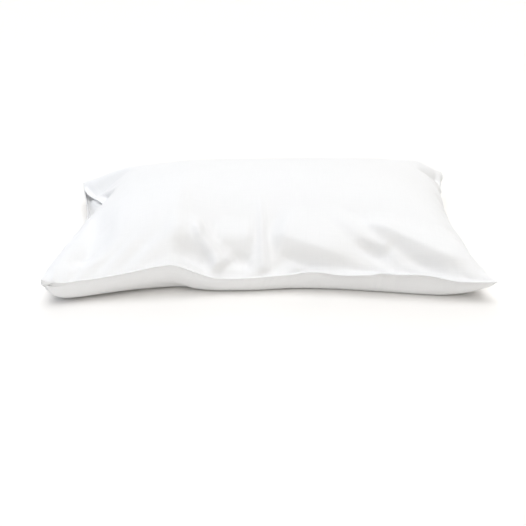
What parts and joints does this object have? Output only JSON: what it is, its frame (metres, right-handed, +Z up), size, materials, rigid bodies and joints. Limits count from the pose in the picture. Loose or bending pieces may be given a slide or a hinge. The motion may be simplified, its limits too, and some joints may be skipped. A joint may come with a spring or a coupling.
{
  "type": "pillowcase",
  "caption": "White cotton pillowcase lying on its back, filled with its pillow, with an open hemmed mouth end and soft pulled folds.",
  "frame": {"origin": "centre of the flat underside that the filled pillowcase rests on", "axes": "+Z up from the surface it lies on, +X along its length from the mouth end to the folded end, +Y from the front long seam to the back one"},
  "size_m": [0.73, 0.48, 0.1519],
  "materials": {
    "cotton": "matte"
  },
  "bodies": {
    "root": {"pillowcase": "cotton"}
  },
  "joints": []
}
